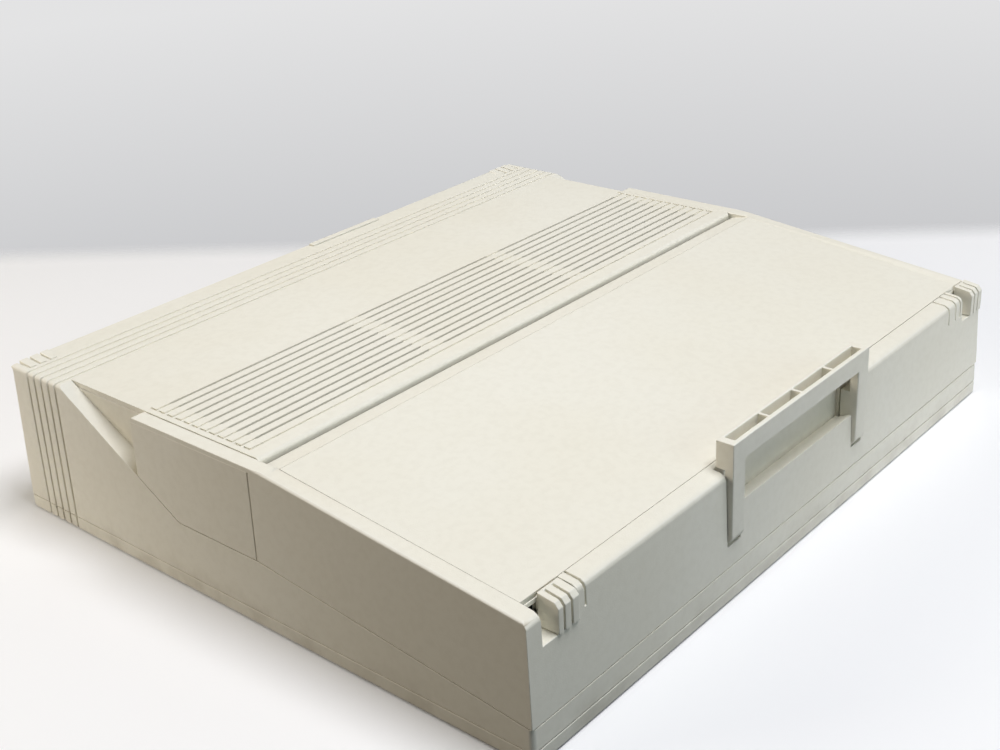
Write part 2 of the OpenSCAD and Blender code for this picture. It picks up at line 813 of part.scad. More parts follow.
// Square frame of the fan with its motor boss
module fan_frame() {
    v0 = rear_panel_v - fan_deep;
    color(dark) place() {
        difference() {
            block([fan_x - fan_side / 2, v0, fan_z - fan_side / 2],
                  [fan_x + fan_side / 2, rear_panel_v, fan_z + fan_side / 2]);
            bar_y(fan_x, v0 - 1, rear_panel_v + 1, fan_z, fan_bore_r);
        }
        difference() {
            union() {
                bar_y(fan_x, rear_panel_v - 3, rear_panel_v, fan_z, hub_r);
                for (a = [45, 135])
                    translate([fan_x, rear_panel_v - 1.5, fan_z]) rotate([0, a, 0])
                        cube([2 * fan_bore_r + 1, 3, 3], center = true);
            }
            bar_y(fan_x, rear_panel_v - 4, rear_panel_v + 1, fan_z, 1.5 + pin_play);
        }
    }
}

// Fan rotor: hub, blades and the shaft that turns in the motor boss
module fan_rotor() {
    v0 = rear_panel_v - fan_deep + 1;
    v1 = rear_panel_v - 3 - play;
    blade_t = 1.4;
    color(dark) place() {
        bar_y(fan_x, v0, v1, fan_z, hub_r);
        bar_y(fan_x, v0, rear_panel_v - play, fan_z, 1.5);
        for (i = [0 : 6])
            translate([fan_x, (v0 + v1) / 2, fan_z]) rotate([0, i * 360 / 7, 0]) rotate([0, 0, 35])
                translate([-blade_t / 2, -4.2, hub_r - 1]) cube([blade_t, 8.4, fan_bore_r - hub_r - 0.3]);
    }
}

// Sheet-metal cage for the two drives
module drive_cage() {
    back = drive_front + floppy_l;
    right = drive_x + drive_w + drive_slack;
    color(steel) place() {
        block([cage_x, drive_front, bay_z], [cage_x + cage_t, back, floppy_z + drive_h - 3]);
        block([right, drive_front, bay_z], [right + cage_t, back, floppy_z + drive_h - 3]);
        block([cage_x, drive_front, bay_z], [right + cage_t, back, bay_z + cage_t]);
        block([cage_x, drive_front, shelf_z], [right + cage_t, back, shelf_z + cage_t]);
    }
}

// Diskette drive with its bezel, slot and button seat
module floppy_drive() {
    color(dark) place() difference() {
        union() {
            block([drive_x, drive_front, floppy_z], [drive_x + drive_w, drive_front + floppy_l, floppy_z + drive_h]);
            block([drive_x, bezel_front_v, floppy_z], [drive_x + drive_w, drive_front, floppy_z + drive_h]);
        }
        // Slot, open to the front, with the flap behind it
        block([drive_x + (drive_w - slot_w) / 2, 0, slot_z],
              [drive_x + (drive_w + slot_w) / 2, drive_front + slot_deep + disk_in, slot_z + slot_h]);
        bar_x(drive_x + (drive_w - slot_w) / 2 - 2, drive_x + (drive_w + slot_w) / 2 + 2,
              flap_hinge_v(), disk_flap_z(), 0.9 + 2 * pin_play);
        // Seat of the eject button
        block([button_x - play, 0, button_z - play],
              [button_x + button_w + play, bezel_front_v + 6 + button_travel + 1, button_z + button_h + play]);
    }
}

function flap_hinge_v() = drive_front + slot_deep;
function disk_flap_z() = slot_z + slot_h - 0.8;

// Button that ejects the diskette
module eject_button() {
    color(grey_key) place()
        block([button_x, bezel_front_v, button_z], [button_x + button_w, bezel_front_v + 6, button_z + button_h]);
}

// Dust flap that hangs behind the diskette slot
module disk_flap() {
    x0 = drive_x + (drive_w - slot_w) / 2;
    color(dark) place() {
        block([x0 + play, flap_hinge_v() - 0.5, slot_z + play],
              [x0 + slot_w - play, flap_hinge_v() + 0.5, disk_flap_z()]);
        bar_x(x0 - 1.5, x0 + slot_w + 1.5, flap_hinge_v(), disk_flap_z(), 0.9);
    }
}

// Hard disk in the lower bay of the cage
module hard_disk() {
    z0 = bay_z + cage_t;
    color(steel) place() {
        block([drive_x, drive_front + 2, z0], [drive_x + drive_w, drive_front + floppy_l - 2, z0 + 6]);
        block([drive_x + 2, drive_front + 4, z0 + 6],
              [drive_x + drive_w - 2, drive_front + floppy_l - 4, z0 + drive_h]);
    }
}

// Loudspeaker behind its slots
module speaker() {
    v0 = core_front + wall;
    color(dark) place() {
        bar_y(speaker_x, v0, v0 + 3, speaker_z, speaker_d / 2);
        bar_y(speaker_x, v0 + 3, v0 + 9, speaker_z, speaker_d / 2 - 7);
        bar_y(speaker_x, v0 + 9, v0 + 16, speaker_z, speaker_d / 2 - 10);
    }
}

// Small board behind the front panel, with the two dial controls
module dial_board() {
    color(board_green) place() {
        difference() {
            block([dial_x[0] - 14, dial_board_v, dial_z - 14], [lamp_x[2] + 8, dial_board_v + board_t, dial_z + 16]);
            for (x = dial_x) bar_y(x, 0, far, dial_z, 1.5 + pin_play);
        }
        // Spacers against the front panel
        for (x = [dial_x[0] - 10, lamp_x[2] + 4])
            for (z = [dial_z - 10, dial_z + 12]) bar_y(x, core_front + wall, dial_board_v, z, 2.5);
    }
}

// A small dial in front of the panel, on a shaft that turns in the board
module dial(x) {
    v0 = bezel_front_v - 0.4;
    color(dark) place() difference() {
        union() {
            bar_y(x, v0, core_front - play, dial_z, dial_r);
            bar_y(x, v0, core_front + wall + 2, dial_z, 2);
            bar_y(x, v0, dial_board_v + board_t, dial_z, 1.5);
        }
        block([x - 0.5, 0, dial_z + 1.5], [x + 0.5, v0 + 0.6, dial_z + dial_r + 1]);
    }
}

module brightness_dial() {
    dial(dial_x[0]);
}

module contrast_dial() {
    dial(dial_x[1]);
}

// Three signal lamps
module status_lamps() {
    color("green") place()
        for (x = lamp_x)
            bar_y(x, core_front - 0.6, dial_board_v, dial_z, lamp_r);
}

// A shielded many-pole socket
module port_shell(x, z, w, h, out) {
    block([x - w / 2 - 4, rear_panel_v - 3, z - h / 2 - 2], [x + w / 2 + 4, rear_panel_v, z + h / 2 + 2]);
    block([x - w / 2, rear_panel_v - 3, z - h / 2], [x + w / 2, rear_panel_v + rear_panel_t + out, z + h / 2]);
}

// Places and sizes of the rear sockets: x, height, width, depth, how far out
ports = [
    [flap_x + flap_w / 2, flap_z0 + 9, 40, 10, 0], [flap_x + flap_w / 2, flap_z0 + 25, 40, 10, 0],
    [psu_x1 + 34, 20, 18, 10, 3], [psu_x1 + 62, 20, 18, 10, 3],
    [rear_x - 87, 22, 40, 10, 3], [rear_x - 32, 22, 18, 10, 3]
];

// Sockets of the rear panel
module port_connectors() {
    color(steel) place()
        for (p = ports) port_shell(p[0], p[1], p[2], p[3], p[4]);
}

// Upright steel panel that closes the rear opening
module rear_panel() {
    color(steel) place() difference() {
        block([play - rear_x, rear_panel_v, rear_z0 + play], [rear_x - play, rear_panel_v + rear_panel_t, rear_z1 - play]);
        for (p = ports)
            block([p[0] - p[2] / 2 - play, 0, p[1] - p[3] / 2 - play], [p[0] + p[2] / 2 + play, far, p[1] + p[3] / 2 + play]);
        // Fan grille of curved slots
        difference() {
            bar_y(fan_x, 0, far, fan_z, fan_bore_r);
            bar_y(fan_x, 0, far, fan_z, hub_r);
            for (r = [12.5 : 4.5 : 22])
                difference() {
                    bar_y(fan_x, 0, far, fan_z, r + 0.8);
                    bar_y(fan_x, -1, far + 1, fan_z, r - 0.8);
                }
            for (a = [0, 90])
                translate([fan_x, 0, fan_z]) rotate([0, a, 0]) cube([2 * fan_side, 2 * far, 3], center = true);
        }
        block([inlet_x - inlet_w / 2 - play, 0, inlet_z - inlet_h / 2 - play],
              [inlet_x + inlet_w / 2 + play, far, inlet_z + inlet_h / 2 + play]);
        block([inlet_x - switch_w / 2 - play, 0, switch_z - switch_h / 2 - play],
              [inlet_x + switch_w / 2 + play, far, switch_z + switch_h / 2 + play]);
        bar_x(inlet_x - switch_w / 2 - 1 - play, inlet_x + switch_w / 2 + 1 + play, switch_v(), switch_z, axle_r + pin_play);
        // Notch for the port flap's hinge
        block([flap_x - 3.4, 0, flap_z0 - 3.2], [flap_x + flap_w + 3.4, far, flap_z0 + 3.2]);
    }
}

function switch_v() = rear_panel_v + rear_panel_t - 1;

// Three-pin mains inlet, open to the rear
module mains_inlet() {
    v0 = rear_panel_v - 16;
    color(dark) place() {
        difference() {
            block([inlet_x - inlet_w / 2, v0, inlet_z - inlet_h / 2],
                  [inlet_x + inlet_w / 2, rear_panel_v + rear_panel_t + 0.6, inlet_z + inlet_h / 2]);
            block([inlet_x - inlet_w / 2 + 1.6, v0 + 2, inlet_z - inlet_h / 2 + 1.6],
                  [inlet_x + inlet_w / 2 - 1.6, far, inlet_z + inlet_h / 2 - 1.6]);
        }
        for (p = [[-7, -2], [7, -2], [0, 3]])
            block([inlet_x + p[0] - 1, v0 + 1, inlet_z + p[1] - 2], [inlet_x + p[0] + 1, v0 + 10, inlet_z + p[1] + 2]);
    }
}

// Rocker of the power switch, which tips about a thin axle
module power_switch() {
    v = switch_v();
    color(dark) place() bar_x(inlet_x - switch_w / 2 - 1, inlet_x + switch_w / 2 + 1, v, switch_z, axle_r);
    color(dark) place() intersection() {
        span(inlet_x - switch_w / 2, inlet_x + switch_w / 2)
            polygon([
                [v - 5, switch_z - 4], [v - 5, switch_z + 4], [v - 1.5, switch_z + switch_h / 2 - 0.5],
                [v + 1, switch_z + switch_h / 2 - 0.6], [v + 2, switch_z], [v + 3.4, switch_z - switch_h / 2 + 0.9],
                [v - 1.5, switch_z - switch_h / 2 + 0.9]
            ]);
        bar_x(-far, far, v, switch_z, switch_h / 2 - 0.1);
    }
}

function flap_axis_v() = back_at(flap_z0, flap_t / 2 + 0.8);

// Outline of the port flap, grown by a margin
module flap_shape(grow) {
    span(flap_x - grow, flap_x + flap_w + grow)
        polygon([
            [back_at(flap_z0, flap_t + grow), flap_z0], [back_at(flap_z0, 0) + grow, flap_z0],
            [back_at(body_h, 0) + grow, body_h], [back_at(body_h, 0), body_h + flap_lip + grow],
            [back_at(body_h, 4 + grow), body_h + flap_lip + grow], [back_at(body_h, 4 + grow), body_h - 0.8 - grow],
            [back_at(body_h, flap_t + grow), body_h - 0.8 - grow]
        ]);
    bar_x(flap_x - grow, flap_x + flap_w + grow, flap_axis_v(), flap_z0, flap_hinge_r - 0.6 + grow);
}

// Flap over the covered sockets, hinged along its lower edge
module port_flap() {
    color(cream) place() difference() {
        flap_shape(0);
        bar_x(flap_x - 1, flap_x + flap_w + 1, flap_axis_v(), flap_z0, flap_pin_r + pin_play);
    }
}

// Pin of the port flap
module flap_pin() {
    color(steel) place()
        bar_x(flap_x - 2.8, flap_x + flap_w + 2.8, flap_axis_v(), flap_z0, flap_pin_r);
}

// Hinge pin from the bracket through the inner wall into the arm
module hinge_pin(s) {
    x0 = core_in - 9;
    x1 = side_at(hinge_z, cheek_t) - 0.5;
    color(steel) place()
        bar_x(s > 0 ? x0 : -x1, s > 0 ? x1 : -x0, hinge_v, hinge_z, hinge_pin_d / 2);
}

module hinge_pin_left() {
    hinge_pin(-1);
}

module hinge_pin_right() {
    hinge_pin(1);
}

// Steel bracket with the friction hub of the hinge
module hinge_bracket(s) {
    t = 3;
    r = min(hinge_pin_d / 2 + 2.2, cover_z - hinge_z - 0.1);
    color(steel) place() difference() {
        union() {
            block([s > 0 ? core_in - t : -core_in, hinge_v - 15, hinge_z - 29],
                  [s > 0 ? core_in : t - core_in, hinge_v + 15, cover_z]);
            bar_x(s > 0 ? core_in - 9 : -core_in, s > 0 ? core_in : 9 - core_in, hinge_v, hinge_z, r);
        }
        bar_x(-far, far, hinge_v, hinge_z, hinge_pin_d / 2 + pin_play);
    }
}

module hinge_bracket_left() {
    hinge_bracket(-1);
}

module hinge_bracket_right() {
    hinge_bracket(1);
}

// Steel catch plates under the deck for the latch hooks
module latch_catches() {
    color(steel) place() on_deck()
        for (s = [-1, 1])
            block([s * hook_x - hook_len - 12, deck_slot_v0, -wall - 1.6],
                  [s * hook_x - hook_len + 0.6, deck_slot_v1, -wall]);
}

// Four round rubber feet
module rubber_feet() {
    color(dark) place()
        for (x = [18 - side, side - 18])
            for (v = [20, body_d - 20])
                translate([x, v, 0]) cylinder(h = foot_gap, r = foot_r);
}

// Folding foot that lies flat in its pocket
module tilt_foot(s) {
    z0 = foot_gap + foot_lift;
    color(dark) place() difference() {
        union() {
            block([s * tilt_x - tilt_w / 2, tilt_v - tilt_l, z0], [s * tilt_x + tilt_w / 2, tilt_v, z0 + tilt_t]);
            bar_x(s * tilt_x - tilt_w / 2, s * tilt_x + tilt_w / 2, tilt_v, z0 + tilt_t / 2, tilt_t / 2);
        }
        bar_x(-far, far, tilt_v, z0 + tilt_t / 2, tilt_pin_r + pin_play);
    }
}

module tilt_foot_left() {
    tilt_foot(-1);
}

module tilt_foot_right() {
    tilt_foot(1);
}

// Pins of the two folding feet
module tilt_pins() {
    color(steel) place()
        for (s = [-1, 1])
            bar_x(s * tilt_x - tilt_w / 2 - 2.2, s * tilt_x + tilt_w / 2 + 2.2,
                  tilt_v, foot_gap + foot_lift + tilt_t / 2, tilt_pin_r);
}

// Screws that hold the tray to the housing
module case_screws() {
    color(steel) place() {
        screw_posts(foot_gap + 0.2, foot_gap + 1.6, screw_head_r);
        screw_posts(foot_gap + 1, 15, screw_r);
    }
}

// Side outline of the lid between its borders
module lid_outline(drop, front_in, rear_in, low) {
    polygon([
        [front_at(deck_front_z, front_in), deck_z(0) + low],
        [front_at(lid_front_z, front_in), lid_front_z - 2.6 - drop],
        [front_at(lid_front_z, front_in) + 0.9, lid_front_z - 0.7 - drop],
        [front_at(lid_front_z, front_in) + 2.8, lid_z(4.8) - drop],
        [panel_back, crease_z - drop],
        [lid_back - rear_in, valley_z - drop],
        [lid_back - rear_in, deck_z(lid_back) + low]
    ]);
}

// Side outline of a lid border with its hinge arm
module border_outline(from) {
    corner = 1.6;
    polygon([
        [from, deck_z(from) + seam],
        [from, lid_z(from)],
        [panel_back, crease_z],
        [panel_back + 4, body_h],
        [arm_back - corner, body_h],
        [arm_back, body_h - corner],
        [arm_back, notch_z(arm_back) + seam * 1.2],
        [slope_start - seam * 0.6, arm_floor + seam],
        [arm_front, arm_floor + seam]
    ]);
}

// Solid pocket walls inside the lid front for the handle and the latches
module lid_front_blocks() {
    block([-handle_w / 2 - 4, 0, handle_pivot_z - handle_end_r - 4.5], [handle_w / 2 + 4, block_back, far]);
    block([-far, 0, slider_z0 - 3], [slider_left_x + slider_w + 4, block_back, far]);
    block([slider_right_x - latch_travel - 4, 0, slider_z0 - 3], [far, block_back, far]);
    for (s = [-1, 1])
        block([s * bar_rest_x - 5, 0, bar_z0 - 2.8], [s * bar_rest_x + 5, block_back + 4, bar_z0 - play]);
}

// Lid moulding with borders, skirts, hinge arms and the seats of handle and latches
module lid_frame() {
    color(cream) place() difference() {
        union() {
            difference() {
                intersection() {
                    span(-side, side) lid_outline(0, 0, 0, seam);
                    between_sides(0, tray_h, body_h + 1);
                }
                // Hollow inside, open towards the keyboard
                difference() {
                    intersection() {
                        span(-side, side) lid_outline(panel_t + flange_t, wall + 0.4, wall, -1);
                        between_sides(wall, tray_h, body_h);
                    }
                    lid_front_blocks();
                }
            }
            // Borders beside the rear strip
            intersection() {
                for (s = [-1, 1])
                    span(s > 0 ? arm_x : -side, s > 0 ? side : -arm_x)
                        difference() {
                            border_outline(panel_back - 6);
                            polygon([
                                [panel_back - 7, 0], [lid_back - wall, 0],
                                [lid_back - wall, crease_z - panel_t - flange_t],
                                [panel_back - 7, lid_z(panel_back - 7) - panel_t - flange_t]
                            ]);
                        }
                arm_section();
            }
        }
        // Seat and opening of the back panel
        panel_space(0, panel_t, far);
        panel_space(flange_w, 3 * panel_t + 3, far);
        // Slots for the handle's arms and the finger recess between them
        for (s = [-1, 1])
            block([s * (handle_w / 2 - handle_arm_w / 2) - handle_arm_w / 2 - play, -far,
                   handle_pivot_z - handle_end_r - 1.2],
                  [s * (handle_w / 2 - handle_arm_w / 2) + handle_arm_w / 2 + play, slot_back, far]);
        span(-handle_in - 1, handle_in + 1)
            polygon([
                [-10, recess_z], [1.5, recess_z], [3.5, recess_z - 0.8], [11, recess_z - 4],
                [11, far], [-10, far]
            ]);
        // Seats of the two latch sliders, with slots for their stems
        block([latch_seat_x, -far, slider_z0 - 0.4], [slider_left_x + slider_w + fin_gap, pocket_back, far]);
        block([slider_right_x - latch_travel - play, -far, slider_z0 - 0.4], [far, pocket_back, far]);
        for (x = [slider_left_x, slider_right_x])
            block([x + stem_in - latch_travel - play, 0, stem_z0 - play],
                  [x + stem_in + stem_w + play, block_back + 1, stem_z1 + play]);
        // Grooves in the ledge beside the sliders
        for (x = [slider_left_x + slider_w + 5.4, slider_right_x - latch_travel - 2.9,
                  slider_right_x - latch_travel - 8.6, slider_right_x - latch_travel - 17])
            difference() {
                block([x - ledge_groove / 2, -far, slider_z0 + 3], [x + ledge_groove / 2, panel_front + 1, far]);
                span(-far, far) polygon([
                    [front_at(slider_z0, ledge_groove), 0], [front_at(slider_z0, ledge_groove), lid_front_z - 4],
                    [front_at(slider_z0, 0) + 4, lid_z(4) - ledge_groove],
                    [panel_front + 2, lid_z(panel_front + 2) - ledge_groove], [panel_front + 2, 0]
                ]);
            }
        // Bores for the hinge pins and the handle pins
        for (s = [-1, 1]) bar_x(s > 0 ? core_x : -far, s > 0 ? far : -core_x, hinge_v, hinge_z, hinge_pin_d / 2 + pin_play);
        for (s = [-1, 1])
            bar_x(s * (handle_w / 2 - handle_arm_w / 2) - handle_arm_w / 2 - 3.4,
                  s * (handle_w / 2 - handle_arm_w / 2) + handle_arm_w / 2 + 3.4,
                  pivot_v, handle_pivot_z, handle_pin_d / 2 + pin_play);
    }
}

// Width of the arms: full at the top edge and in front, thinner behind the cheek covers
module arm_section() {
    between_sides(cheek_t + 0.02, tray_h, body_h + 1);
    intersection() {
        between_sides(0, tray_h, body_h + 1);
        union() {
            block([-far, 0, body_h - 2.4], [far, far, far]);
            block([-far, 0, 0], [far, arm_front, far]);
        }
    }
}

// The sloping space of the back panel, shrunk by a margin, from a depth below the top
module panel_space(inset, deep, up) {
    span(inset - core_x, core_x - inset)
        polygon([
            [panel_front + inset, lid_z(panel_front + inset) - deep],
            [panel_back - inset, lid_z(panel_back - inset) - deep],
            [panel_back - inset, lid_z(panel_back) + up],
            [panel_front + inset, lid_z(panel_front) + up]
        ]);
}

// Flat back panel set into the lid
module lid_back_panel() {
    color(cream) place() difference() {
        intersection() {
            panel_space(seam / 2, panel_t, 0);
            block([-far, 0, 0], [far, far, lid_z(panel_back)]);
        }
        // Corners that the latch seats cut away
        for (s = [-1, 1])
            block([s > 0 ? slider_right_x - latch_travel - play : latch_seat_x, 0, 0],
                  [s > 0 ? far : slider_left_x + slider_w + fin_gap, pocket_back + play, far]);
    }
}

// Cheek cover over the outer side of a hinge arm
module cheek(s) {
    gap = 0.7;
    color(cream) place() difference() {
        intersection() {
            span(s > 0 ? arm_x : -side, s > 0 ? side : -arm_x)
                polygon([
                    [lid_back + gap, arm_floor + seam],
                    [lid_back + gap, body_h - 2.4],
                    [arm_back, body_h - 2.4],
                    [arm_back, notch_z(arm_back) + seam * 1.2],
                    [slope_start - seam * 0.6, arm_floor + seam]
                ]);
            between_sides(0, tray_h, body_h);
        }
        between_sides(cheek_t, 0, far);
    }
}

module cheek_left() {
    cheek(-1);
}

module cheek_right() {
    cheek(1);
}

// Half width inside the lid at the height of the bezel
function inside_x() = side_at(deck_z(lid_back) + bezel_w0 + bezel_t, wall);

// Rear edge of the bezel against the lid's rear wall, and the middle of the window
function bezel_back() = (lid_back - wall + bezel_w0 * sin(wedge_deg)) / cos(wedge_deg);
function window_mid() = (bezel_front + bezel_back()) / 2;
function screen_rib_x() = window_w / 2 + 28;

// Bezel round the screen, facing the keyboard
module screen_bezel() {
    u1 = bezel_back();
    mid = window_mid();
    color(cream_dark) place() on_deck() difference() {
        union() {
            block([-inside_x(), bezel_front, bezel_w0], [inside_x(), u1, bezel_w0 + bezel_t]);
            // Short ribs that hold the display module
            for (s = [-1, 1])
                block([s * screen_rib_x() - 1, bezel_front + 6, bezel_w0], [s * screen_rib_x() + 1, u1 - 6, bezel_w0 + 10]);
        }
        block([-window_w / 2, mid - window_h / 2, 0], [window_w / 2, mid + window_h / 2, far]);
    }
}

// Screen glass behind the window
module screen_glass() {
    mid = window_mid();
    color(screen_dark) place() on_deck()
        block([-window_w / 2 - 4, mid - window_h / 2 - 3, bezel_w0 + bezel_t],
              [window_w / 2 + 4, mid + window_h / 2 + 3, bezel_w0 + bezel_t + glass_t]);
}

// Flat display module with its frame
module display_module() {
    z0 = bezel_w0 + bezel_t + glass_t;
    mid = window_mid();
    color(steel) place() on_deck() {
        block([-window_w / 2 - 24, mid - window_h / 2 - 4, z0], [window_w / 2 + 24, mid + window_h / 2 + 4, z0 + module_t]);
    }
}

// Board with the screen's supply, beside the display module
module backlight_board() {
    z0 = bezel_w0 + bezel_t;
    x0 = screen_rib_x() + 10.5;
    x1 = inside_x() - 24;
    color(board_green) place() on_deck() {
        block([x0, bezel_front + 12, z0], [x1, lid_back - 24, z0 + board_t]);
        for (i = [0 : 2])
            block([x0 + 6, bezel_front + 20 + i * 32, z0 + board_t],
                  [x1 - 6, bezel_front + 40 + i * 32, z0 + 12]);
    }
}

// Carrying handle: two arms, a grip with open pockets and round lower ends
module handle() {
    v0 = grip_front;
    v1 = grip_front + handle_d;
    grip_z0 = handle_top - grip_h;
    ribs = 3;
    rib_t = 1.6;
    rim = 1.7;
    pocket_w = (handle_w - 2 * 4.5 - ribs * rib_t) / (ribs + 1);
    color(cream) place() difference() {
        union() {
            for (s = [-1, 1]) {
                x = s * (handle_w / 2 - handle_arm_w / 2);
                block([x - handle_arm_w / 2, v0, handle_pivot_z], [x + handle_arm_w / 2, v1, handle_top]);
                bar_x(x - handle_arm_w / 2, x + handle_arm_w / 2, pivot_v, handle_pivot_z, handle_end_r);
            }
            block([-handle_w / 2, v0, grip_z0], [handle_w / 2, v1, handle_top]);
        }
        for (i = [0 : ribs])
            block([4.5 - handle_w / 2 + i * (pocket_w + rib_t), v0 + rim + 0.8, grip_z0 + 2.4],
                  [4.5 - handle_w / 2 + i * (pocket_w + rib_t) + pocket_w, v1 - rim, far]);
        bar_x(-far, far, pivot_v, handle_pivot_z, handle_pin_d / 2 + pin_play);
        // Notch behind each arm, where it dips into the lid
        block([-far, v0 + 4.6, lid_front_z - 6], [far, far, lid_front_z + 2]);
    }
}

// Two pivot pins of the handle
module handle_pins() {
    color(steel) place()
        for (s = [-1, 1]) {
            x = s * (handle_w / 2 - handle_arm_w / 2);
            bar_x(x - handle_arm_w / 2 - 3.2, x + handle_arm_w / 2 + 3.2, pivot_v, handle_pivot_z, handle_pin_d / 2);
        }
}

// Side outline of a latch slider
module slider_outline(drop, back) {
    polygon([
        [slider_front + drop + 1.4, slider_z0 + drop],
        [slider_front + drop + 1.4, lid_front_z - 2 - drop],
        [slider_front + drop + 3.4, lid_front_z - drop + 0.4],
        [slider_back, lid_z(slider_back) + 0.6 - drop],
        [slider_back, slider_z0 + drop]
    ]);
}

// Latch slider with three fins and a stem to the bar
module latch_slider(x) {
    cut = 1.2;
    color(cream) place() {
        difference() {
            intersection() {
                span(x, x + slider_w) slider_outline(0, slider_back);
                between_sides(0, tray_h, body_h);
            }
            difference() {
                for (i = [1, 2])
                    block([x + (i - 0.25) * fin_pitch - cut / 2, -far, slider_z0 - 1],
                          [x + (i - 0.25) * fin_pitch + cut / 2, slider_back - 1, far]);
                span(x, x + slider_w) slider_outline(1.6, slider_back);
            }
        }
        block([x + stem_in, slider_back - 0.5, stem_z0], [x + stem_in + stem_w, bar_front, stem_z1]);
    }
}

module latch_slider_left() {
    latch_slider(slider_left_x);
}

module latch_slider_right() {
    latch_slider(slider_right_x);
}

// Bar that joins the two sliders and carries the hooks
module latch_bar() {
    color(steel) place() {
        block([slider_left_x + 2, bar_front, bar_z0], [slider_right_x + 9.6, bar_front + bar_t, bar_z1]);
        for (s = [-1, 1]) {
            block([s * hook_x - shank_w / 2, bar_front, hook_z0], [s * hook_x + shank_w / 2, bar_front + bar_t, bar_z0 + 1]);
            block([s * hook_x - hook_len + 2, bar_front, hook_z0],
                  [s * hook_x + shank_w / 2, bar_front + bar_t, hook_z0 + hook_t]);
        }
    }
}

base_tray();
main_housing();
top_cover();
front_panel();
keyboard_plate();
keyboard_board();
keys_function();
keys_number();
keys_upper();
keys_home();
keys_lower();
keys_bottom();
space_bar();
keys_pad();
motherboard();
riser_board();
lower_card();
upper_card();
power_supply();
fan_frame();
fan_rotor();
drive_cage();
floppy_drive();
eject_button();
disk_flap();
hard_disk();
speaker();
dial_board();
brightness_dial();
contrast_dial();
status_lamps();
rear_panel();
port_connectors();
mains_inlet();
power_switch();
port_flap();
flap_pin();
hinge_pin_left();
hinge_pin_right();
hinge_bracket_left();
hinge_bracket_right();
latch_catches();
rubber_feet();
tilt_foot_left();
tilt_foot_right();
tilt_pins();
case_screws();
lid_frame();
lid_back_panel();
cheek_left();
cheek_right();
screen_bezel();
screen_glass();
display_module();
backlight_board();
handle();
handle_pins();
latch_slider_left();
latch_slider_right();
latch_bar();
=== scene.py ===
# %% [markdown]
# # A luggable computer around its solids
# The imported model gives every solid at its true size and place, and this lesson dresses it: rounded edges
# and a procedural finish for every piece.
# It starts with the frame, because everything later takes its place from it.

import json
import math

import bmesh
import bpy
from mathutils import Euler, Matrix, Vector


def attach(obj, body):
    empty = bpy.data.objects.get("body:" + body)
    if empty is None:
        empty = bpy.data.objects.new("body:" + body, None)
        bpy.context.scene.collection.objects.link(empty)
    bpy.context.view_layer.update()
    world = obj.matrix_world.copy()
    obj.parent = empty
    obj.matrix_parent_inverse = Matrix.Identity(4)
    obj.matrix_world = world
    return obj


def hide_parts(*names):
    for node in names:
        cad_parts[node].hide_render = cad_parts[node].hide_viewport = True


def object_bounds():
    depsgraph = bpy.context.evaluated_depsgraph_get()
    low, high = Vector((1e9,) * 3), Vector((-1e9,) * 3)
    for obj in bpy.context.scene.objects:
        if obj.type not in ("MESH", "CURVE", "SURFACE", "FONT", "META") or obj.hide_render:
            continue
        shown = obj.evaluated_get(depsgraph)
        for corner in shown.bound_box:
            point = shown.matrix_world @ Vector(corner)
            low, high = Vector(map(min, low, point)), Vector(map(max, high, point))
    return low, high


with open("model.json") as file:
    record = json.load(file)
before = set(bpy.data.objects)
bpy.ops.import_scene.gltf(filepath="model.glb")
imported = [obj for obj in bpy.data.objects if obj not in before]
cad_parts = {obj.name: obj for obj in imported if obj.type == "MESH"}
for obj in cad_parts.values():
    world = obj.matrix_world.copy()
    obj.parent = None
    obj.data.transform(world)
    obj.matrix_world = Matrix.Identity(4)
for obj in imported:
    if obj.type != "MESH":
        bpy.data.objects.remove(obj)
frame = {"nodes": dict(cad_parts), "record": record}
cad_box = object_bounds()
nodes = frame["nodes"]
record = frame["record"]
body_of = {n: b for b, members in record["behaviour"]["bodies"].items() for n in members}
slot_of = {s["node"]: s["material_slot"] for s in record["subparts"]}
print("the frame's box:", [round(v, 4) for corner in cad_box for v in corner])

# %% [markdown]
# ## The camera
# The photograph was taken from the front left and above, at about 0.8 m. The lens and the place of
# the camera were worked out from straight edges whose lengths are known in the solids, so they are plain
# numbers here. Vertical edges lean outwards to the bottom of the picture, which a short distance does and a
# shifted lens doesn't, so the shift stays at nought.

# %% Set up the camera
MM = 0.001
CAMERA_PLACE = (-0.52952, -0.46219, 0.38069)
CAMERA_TURN = (64.4335, 3.0822, -49.5001)
LENS_MM = 51.235

scene = bpy.context.scene
camera = bpy.data.objects.new("camera", bpy.data.cameras.new("camera"))
scene.collection.objects.link(camera)
camera.location = CAMERA_PLACE
camera.rotation_euler = Euler([math.radians(a) for a in CAMERA_TURN])
camera.data.lens = LENS_MM
camera.data.sensor_width = 36.0
camera.data.sensor_fit = "HORIZONTAL"
camera.data.clip_start = 0.02
scene.camera = camera
scene.view_settings.view_transform = "Standard"
MIDDLE = Vector((0, 0, 0.04))
print("camera to the middle of the machine:", round((Vector(CAMERA_PLACE) - MIDDLE).length, 3), "m")

# %% [markdown]
# ## A small language for finishes
# A finish is a graph of nodes, but sums read better as sums. A wire wraps one output socket, so that
# `0.5 + 0.1 * grain` adds its Math nodes by itself. Colours never go through Math nodes, which would turn
# them grey: they are mixed by a mask instead. Every other node comes from one method, which takes the kind
# of node, its settings and its sockets.


